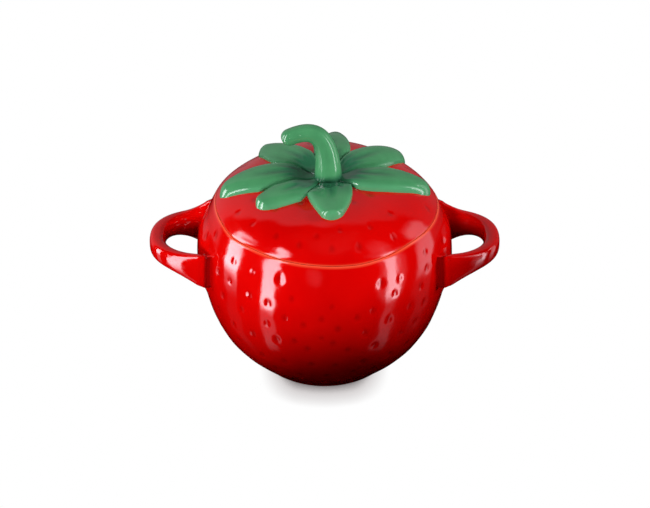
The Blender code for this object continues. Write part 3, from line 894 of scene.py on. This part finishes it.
def add_math(nodes, links, operation, first, second=0.0):
    node = nodes.new("ShaderNodeMath")
    node.operation = operation
    for socket, value in zip(node.inputs, (first, second)):
        if isinstance(value, float):
            socket.default_value = value
        else:
            links.new(value, socket)
    return node.outputs["Value"]


def add_drift(nodes, links, place, scale, detail, *span):
    return add_range(nodes, links, add_noise(nodes, links, place, scale, detail), *span)


def add_mask(nodes, links, name, *span):
    node = nodes.new("ShaderNodeAttribute")
    node.attribute_name = name
    return add_range(nodes, links, node.outputs["Fac"], *span) if span else node.outputs["Fac"]


def add_mix(nodes, links, factor, first, second):
    node = nodes.new("ShaderNodeMix")
    node.data_type = "RGBA"
    links.new(factor, node.inputs["Factor"])
    for socket, value in ((node.inputs[6], first), (node.inputs[7], second)):
        if isinstance(value, tuple):
            socket.default_value = (*value, 1.0)
        else:
            links.new(value, socket)
    return node.outputs[2]


def red_glaze():
    """Red glaze with pooled glaze and painted shade in the dimples, painted shade inside the handles and
    their grooves, thin glaze along the seam, and bare clay.
    """
    material, nodes, links, shader = new_material("red_glaze_fired")
    place = nodes.new("ShaderNodeTexCoord")
    drift = add_drift(nodes, links, place, *RED_DRIFT)
    colour = add_mix(nodes, links, drift, RED_DEEP, RED_BRIGHT)
    # Pit mask: pooled glaze and painted shade in the dimples, painted shade on the handles
    colour = add_mix(nodes, links, add_mask(nodes, links, "pit", *PIT_SHOWS), colour, RED_POOL_AND_SHADE)
    colour = add_mix(nodes, links, add_mask(nodes, links, "edge", *EDGE_SHOWS), colour, RED_THIN)
    clay = add_mix(nodes, links, add_drift(nodes, links, place, *CLAY_SPECK), CLAY_DARK, CLAY_PALE)
    bare = add_mask(nodes, links, "bare")
    links.new(add_mix(nodes, links, bare, colour, clay), shader.inputs["Base Color"])
    rough = nodes.new("ShaderNodeMix")
    rough.data_type = "FLOAT"
    links.new(bare, rough.inputs["Factor"])
    links.new(add_drift(nodes, links, place, *RED_GLOSS), rough.inputs[2])
    rough.inputs[3].default_value = CLAY_ROUGH
    links.new(rough.outputs[0], shader.inputs["Roughness"])
    add_bump(nodes, links, place, shader, *RED_BUMP)
    shader.inputs["IOR"].default_value = GLAZE_IOR
    return material


def green_glaze():
    """Green glaze that is darker in the hollows, from pooled glaze and painted shade, and paler on the
    edges.
    """
    material, nodes, links, shader = new_material("green_glaze_fired")
    place = nodes.new("ShaderNodeTexCoord")
    drift = add_drift(nodes, links, place, *GREEN_DRIFT)
    colour = add_mix(nodes, links, drift, GREEN_DEEP, GREEN_BRIGHT)
    # Hollow mask: pooled glaze and painted shade round the stem and in the folds
    colour = add_mix(nodes, links, add_mask(nodes, links, "hollow", *HOLLOW_SHOWS), colour, GREEN_POOL_AND_SHADE)
    colour = add_mix(nodes, links, add_mask(nodes, links, "ridge", *RIDGE_SHOWS), colour, GREEN_THIN)
    links.new(colour, shader.inputs["Base Color"])
    links.new(add_drift(nodes, links, place, *GREEN_GLOSS), shader.inputs["Roughness"])
    add_bump(nodes, links, place, shader, *GREEN_BUMP)
    shader.inputs["IOR"].default_value = GLAZE_IOR
    return material


# Stage

# Floor and its painted contact shadow: how open a place is, and its colour
FLOOR_HALF_SIZE = 6.0
FLOOR_GREY = 0.12
SHADOW_REACH = 0.0115
SHADOW_SAMPLES = 16
SHADOW_STOPS = [(0.05, (0.02, 0.004, 0.004)), (0.36, (0.68, 0.65, 0.65)), (0.92, (1.0, 1.0, 1.0))]
# Distance from the middle along X over which the painted shadow ends
SHADOW_FADE = (0.011, 0.032)
TENT_RADIUS = 2.6
TENT_RINGS = 49
TENT_TURN = 96
# Dark studio: an axis, a stretch of it in radii, and the level at both ends of that, all multiplied
TENT_LEVELS = [("Y", 0.30, 0.42, 0.0, 1.0), ("X", -0.8, 0.8, 0.50, 0.16), ("Z", -0.45, 0.05, 0.0, 1.0)]
STRIP_COLOUR = (0.98, 0.91, 1.0)
# Soft strips, in degrees: azimuth, half width, soft edge, level, elevations at which it starts, is full,
# fades and ends, and its lean below STRIP_BEND
STRIPS = [
    (-56.5, 6.2, 1.2, 13.0, -60.0, -48.0, 44.0, 50.0, 0.28),
    (-90.0, 6.5, 1.2, 13.0, -27.0, -14.0, 24.0, 32.0, 0.35),
    (-90.0, 6.5, 1.2, 1.0, -60.0, -48.0, -27.0, -14.0, 0.35),
    (69.0, 5.0, 2.5, 7.5, -60.0, -44.0, 10.0, 40.0, 0.0),
    (69.0, 10.0, 6.0, 0.6, -60.0, -44.0, 30.0, 60.0, 0.0),
    (102.0, 9.0, 6.0, 1.6, -50.0, -30.0, 24.0, 40.0, 0.0),
]
STRIP_BEND = -10.0
PLATE_MIDDLE = (0.014, 0.0, -0.001)
PLATE_HALF_SIZE = 0.20
# Distance from the middle over which the plate ends, and how much shows through it
PLATE_EDGE = (0.125, 0.178)
PLATE_SHEEN = 0.05
# Cards that shade the foot and the right side of the pot from the lamps, by their corners
FLAG_GREY = 0.02
FLAGS = {
    "front_flag": [
        (-0.30, -0.18, 0.012), (0.30, -0.18, 0.012), (0.30, -0.18, 0.090), (0.06, -0.18, 0.072),
        (0.005, -0.18, 0.068), (-0.03, -0.18, 0.061), (-0.067, -0.18, 0.051), (-0.30, -0.18, 0.035),
    ],
    "right_flag": [(0.18, -0.30, 0.012), (0.18, 0.30, 0.012), (0.18, 0.30, 0.088), (0.18, -0.30, 0.088)],
    "side_flag": [(0.040, -0.09, 0.012), (0.125, -0.09, 0.012), (0.125, -0.09, 0.10), (0.040, -0.09, 0.10)],
}
WORLD_LIGHT = 0.04
# Lamps: azimuth from the front and elevation in degrees, size, light on a face turned to it
LAMPS = {
    "key_front": (-12.0, 8.0, 0.35, 0.90),
    "key_top": (20.0, 76.0, 1.0, 0.28),
    "key_left": (-95.0, 18.0, 0.7, 0.68),
    "key_right": (97.0, 20.0, 0.4, 0.80),
}
LAMP_TARGET = Vector((0.0, 0.0, 0.05))
LAMP_DISTANCE = 1.4
CAMERA_SENSOR = 36.0
CAMERA_LENS = 128.6
CAMERA_ELEVATION = 34.0
CAMERA_TARGET = Vector((0.00017, 0.0, 0.0496))
CAMERA_DISTANCE = 1.0


def background_rays(nodes, links):
    """1 for the rays that show the background: camera, glossy and transmission rays."""
    path = nodes.new("ShaderNodeLightPath")
    most = path.outputs["Is Camera Ray"]
    for name in ("Is Glossy Ray", "Is Transmission Ray"):
        most = add_math(nodes, links, "MAXIMUM", most, path.outputs[name])
    return most


def stage_material(name):
    material, nodes, links, _ = new_material(name)
    nodes.clear()
    return material, nodes, links, nodes.new("ShaderNodeOutputMaterial")


def add_dull(nodes, grey):
    dull = nodes.new("ShaderNodeBsdfDiffuse")
    dull.inputs["Color"].default_value = (grey, grey, grey, 1.0)
    return dull.outputs["BSDF"]


def add_stage(name, mesh, material):
    mesh.materials.append(material)
    item = add_object(name, mesh)
    return item


def square_mesh(name, size, height):
    mesh = bpy.data.meshes.new(name)
    corners = [(-size, -size, height), (size, -size, height), (size, size, height), (-size, size, height)]
    mesh.from_pydata(corners, [], [(0, 1, 2, 3)])
    return mesh


def show_only(item, glossy=False, shadow=False):
    """Studio gear that shows only in the gloss of the glaze, or only by its shadow."""
    item.visible_camera = False
    item.visible_diffuse = False
    item.visible_transmission = False
    item.visible_volume_scatter = False
    item.visible_glossy = glossy
    item.visible_shadow = shadow


def make_floor():
    """White floor with a soft contact shadow painted from ambient occlusion."""
    material, nodes, links, output = stage_material("pale_floor")
    shade = nodes.new("ShaderNodeAmbientOcclusion")
    shade.samples = SHADOW_SAMPLES
    shade.inputs["Distance"].default_value = SHADOW_REACH
    place = nodes.new("ShaderNodeTexCoord")
    split = nodes.new("ShaderNodeSeparateXYZ")
    links.new(place.outputs["Object"], split.inputs["Vector"])
    aside = add_math(nodes, links, "ABSOLUTE", split.outputs["X"])
    fade = add_smooth(nodes, links, aside, *SHADOW_FADE, 1.0, 0.0)
    ramp = nodes.new("ShaderNodeValToRGB")
    stops = ramp.color_ramp.elements
    stops.new(0.5)
    for stop, (position, colour) in zip(stops, SHADOW_STOPS):
        stop.position = position
        stop.color = (*colour, 1.0)
    links.new(add_math(nodes, links, "POWER", shade.outputs["AO"], fade), ramp.inputs["Fac"])
    glow = nodes.new("ShaderNodeEmission")
    links.new(ramp.outputs["Color"], glow.inputs["Color"])
    mix = nodes.new("ShaderNodeMixShader")
    links.new(background_rays(nodes, links), mix.inputs["Fac"])
    links.new(add_dull(nodes, FLOOR_GREY), mix.inputs[1])
    links.new(glow.outputs["Emission"], mix.inputs[2])
    links.new(mix.outputs["Shader"], output.inputs["Surface"])
    floor = add_stage("floor", square_mesh("floor", FLOOR_HALF_SIZE, 0.0), material)
    floor.visible_glossy = False


def tent_level(nodes, links, place):
    """Brightness of the studio that the glaze reflects: a lit rear wall and soft upright strips."""
    split = nodes.new("ShaderNodeSeparateXYZ")
    links.new(place, split.inputs["Vector"])
    level = None
    for axis, low, high, to_low, to_high in TENT_LEVELS:
        share = add_smooth(
            nodes, links, split.outputs[axis], low * TENT_RADIUS, high * TENT_RADIUS, to_low, to_high
        )
        level = share if level is None else add_math(nodes, links, "MULTIPLY", level, share)
    behind = add_math(nodes, links, "MULTIPLY", split.outputs["Y"], -1.0)
    azimuth = add_math(nodes, links, "ARCTAN2", split.outputs["X"], behind)
    sine = add_math(nodes, links, "DIVIDE", split.outputs["Z"], TENT_RADIUS)
    elevation = add_math(nodes, links, "ARCSINE", sine)
    below = add_math(nodes, links, "SUBTRACT", elevation, math.radians(STRIP_BEND))
    below = add_math(nodes, links, "MINIMUM", below, 0.0)
    for middle, half, soft, strength, start, full, fade, end, lean in STRIPS:
        away = add_math(nodes, links, "SUBTRACT", azimuth, add_math(nodes, links, "MULTIPLY", below, lean))
        away = add_math(nodes, links, "SUBTRACT", away, math.radians(middle))
        away = add_math(nodes, links, "ABSOLUTE", away)
        inner = math.radians(half - 0.5 * soft)
        outer = math.radians(half + 0.5 * soft)
        band = add_smooth(nodes, links, away, inner, outer, strength, 0.0)
        rise = add_smooth(nodes, links, elevation, math.radians(start), math.radians(full))
        fall = add_smooth(nodes, links, elevation, math.radians(fade), math.radians(end), 1.0, 0.0)
        band = add_math(nodes, links, "MULTIPLY", band, add_math(nodes, links, "MULTIPLY", rise, fall))
        level = add_math(nodes, links, "ADD", level, band)
    return level


def make_tent():
    """Dark studio with a lit rear wall and strips of light, which the photo's glaze reflects."""
    material, nodes, links, output = stage_material("dark_tent")
    place = nodes.new("ShaderNodeTexCoord")
    glow = nodes.new("ShaderNodeEmission")
    glow.inputs["Color"].default_value = (*STRIP_COLOUR, 1.0)
    links.new(tent_level(nodes, links, place.outputs["Object"]), glow.inputs["Strength"])
    links.new(glow.outputs["Emission"], output.inputs["Surface"])
    mesh = bpy.data.meshes.new("dark_tent")
    rise = np.linspace(-math.pi / 2, math.pi / 2, TENT_RINGS)
    turn = np.linspace(0.0, 2.0 * math.pi, TENT_TURN, endpoint=False)
    x = np.cos(rise)[:, None] * np.cos(turn)
    y = np.cos(rise)[:, None] * np.sin(turn)
    z = np.repeat(np.sin(rise)[:, None], TENT_TURN, axis=1)
    points = TENT_RADIUS * np.stack((x, y, z), axis=-1).reshape(-1, 3)
    mesh.from_pydata(points.tolist(), [], grid_faces(TENT_RINGS, TENT_TURN, wrap=True).tolist())
    show_only(add_stage("dark_tent", mesh, material), glossy=True)


def make_plate():
    """Dark plate under the pot, with a soft edge, which the glaze reflects."""
    material, nodes, links, output = stage_material("dark_plate")
    place = nodes.new("ShaderNodeTexCoord")
    away = nodes.new("ShaderNodeVectorMath")
    away.operation = "DISTANCE"
    away.inputs[1].default_value = PLATE_MIDDLE
    links.new(place.outputs["Object"], away.inputs[0])
    mix = nodes.new("ShaderNodeMixShader")
    links.new(add_smooth(nodes, links, away.outputs["Value"], *PLATE_EDGE, PLATE_SHEEN), mix.inputs["Fac"])
    links.new(add_dull(nodes, 0.0), mix.inputs[1])
    links.new(nodes.new("ShaderNodeBsdfTransparent").outputs["BSDF"], mix.inputs[2])
    links.new(mix.outputs["Shader"], output.inputs["Surface"])
    mesh = square_mesh("dark_plate", PLATE_HALF_SIZE, PLATE_MIDDLE[2])
    show_only(add_stage("dark_plate", mesh, material), glossy=True)


def make_flag(name, corners):
    material, nodes, links, output = stage_material(name)
    links.new(add_dull(nodes, FLAG_GREY), output.inputs["Surface"])
    mesh = bpy.data.meshes.new(name)
    mesh.from_pydata(corners, [], [tuple(range(len(corners)))])
    show_only(add_stage(name, mesh, material), shadow=True)


def make_world():
    world = bpy.data.worlds.new("studio")
    bpy.context.scene.world = world
    world.use_nodes = True
    nodes = world.node_tree.nodes
    links = world.node_tree.links
    background = nodes["Background"]
    level = add_range(nodes, links, background_rays(nodes, links), 0.0, 1.0, WORLD_LIGHT, 1.0)
    background.inputs["Color"].default_value = (1.0, 1.0, 1.0, 1.0)
    links.new(level, background.inputs["Strength"])


def direction(azimuth, elevation):
    """Unit vector at an azimuth, 0 at the front and 90 at the right, and at a height."""
    turn = math.radians(azimuth)
    rise = math.radians(elevation)
    return Vector((math.sin(turn) * math.cos(rise), -math.cos(turn) * math.cos(rise), math.sin(rise)))


def make_lamp(name, azimuth, elevation, size, level):
    """Softbox that lights the colour alone and doesn't show in the gloss."""
    back = direction(azimuth, elevation)
    data = bpy.data.lights.new(name, "AREA")
    data.shape = "SQUARE"
    data.size = size
    data.energy = level * math.pi**2 * LAMP_DISTANCE**2
    lamp = add_object(name, data)
    lamp.location = LAMP_TARGET + back * LAMP_DISTANCE
    lamp.rotation_mode = "QUATERNION"
    lamp.rotation_quaternion = back.to_track_quat("Z", "Y")
    lamp.visible_camera = False
    lamp.visible_glossy = False


def make_camera():
    data = bpy.data.cameras.new("camera")
    data.sensor_width = CAMERA_SENSOR
    data.lens = CAMERA_LENS
    camera = add_object("camera", data)
    back = direction(0.0, CAMERA_ELEVATION)
    camera.location = CAMERA_TARGET + back * CAMERA_DISTANCE
    camera.rotation_mode = "QUATERNION"
    camera.rotation_quaternion = (-back).to_track_quat("-Z", "Y")
    bpy.context.scene.camera = camera


def build():
    red = red_glaze()
    green = green_glaze()
    pot_outer, pot_inside, lid_outer, lid_inside = seam_profiles()

    def pot_bare(profile):
        foot = (profile[:, 1] < FOOT_BARE[0]) & (profile[:, 0] > FOOT_BARE[1])
        seat = np.abs(profile[:, 1] - RIM_HEIGHT) < POT_SEAT_BARE
        seat &= profile[:, 0] < pot_outer[0, 0] - SEAT_GLAZED_EDGE
        return (foot | seat).astype(float)

    def lid_bare(profile):
        seat = np.abs(profile[:, 1] - RIM_HEIGHT - SEAT_GAP) < LID_SEAT_BARE
        seat &= profile[:, 0] < lid_outer[-1, 0] - SEAT_GLAZED_EDGE
        return seat.astype(float)

    turned_grid("pot_glazed", pot_outer, pot_inside, red, "pot", ["pot_bowl"], pot_bare)
    turned_grid("lid_glazed", lid_outer, lid_inside, red, "lid", ["lid_dome"], lid_bare)
    handle_piece("handle_left", -1.0, red)
    handle_piece("handle_right", 1.0, red)
    stem_piece(green)
    for index in range(len(LEAVES)):
        leaf_piece(index, green)


build()
make_floor()
make_tent()
make_plate()
for flag, flag_corners in FLAGS.items():
    make_flag(flag, flag_corners)
make_world()
for lamp_name, lamp_values in LAMPS.items():
    make_lamp(lamp_name, *lamp_values)
make_camera()
bpy.context.scene.view_settings.view_transform = "Standard"
